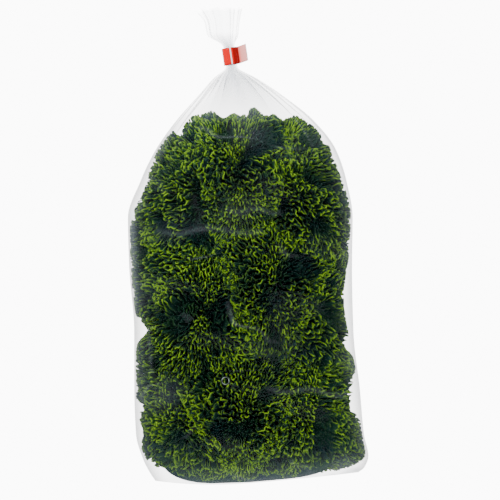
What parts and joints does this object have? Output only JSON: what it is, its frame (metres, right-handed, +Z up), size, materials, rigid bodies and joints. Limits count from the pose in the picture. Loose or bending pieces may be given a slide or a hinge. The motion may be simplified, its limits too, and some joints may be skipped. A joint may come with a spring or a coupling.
{
  "type": "kale bunch",
  "caption": "Bunch of curly kale leaves in a clear film bag, gathered in pleats at the neck, closed with red adhesive tape and lying on its back.",
  "frame": {"origin": "middle of the bag's length and width, on the surface that it lies on", "axes": "+Y from the bottom seam to the mouth, +Z up from the surface, +X across the bag"},
  "size_m": [0.169, 0.338, 0.089],
  "materials": {
    "clear_film": "clear glossy polypropylene film",
    "red_tape": "glossy red adhesive tape",
    "kale_leaf": "fresh curly kale, dark green with pale green margins"
  },
  "bodies": {
    "root": {"bag_film": "clear_film", "neck_tape": "red_tape", "kale_leaf_01": "kale_leaf", "kale_leaf_02": "kale_leaf", "kale_leaf_03": "kale_leaf", "kale_leaf_04": "kale_leaf", "kale_leaf_05": "kale_leaf", "kale_leaf_06": "kale_leaf", "kale_leaf_07": "kale_leaf", "kale_leaf_08": "kale_leaf", "kale_leaf_09": "kale_leaf", "kale_leaf_10": "kale_leaf", "kale_leaf_11": "kale_leaf", "kale_leaf_12": "kale_leaf", "kale_leaf_13": "kale_leaf", "kale_leaf_14": "kale_leaf", "kale_leaf_15": "kale_leaf", "kale_leaf_16": "kale_leaf", "kale_leaf_17": "kale_leaf", "kale_leaf_18": "kale_leaf"}
  },
  "joints": []
}
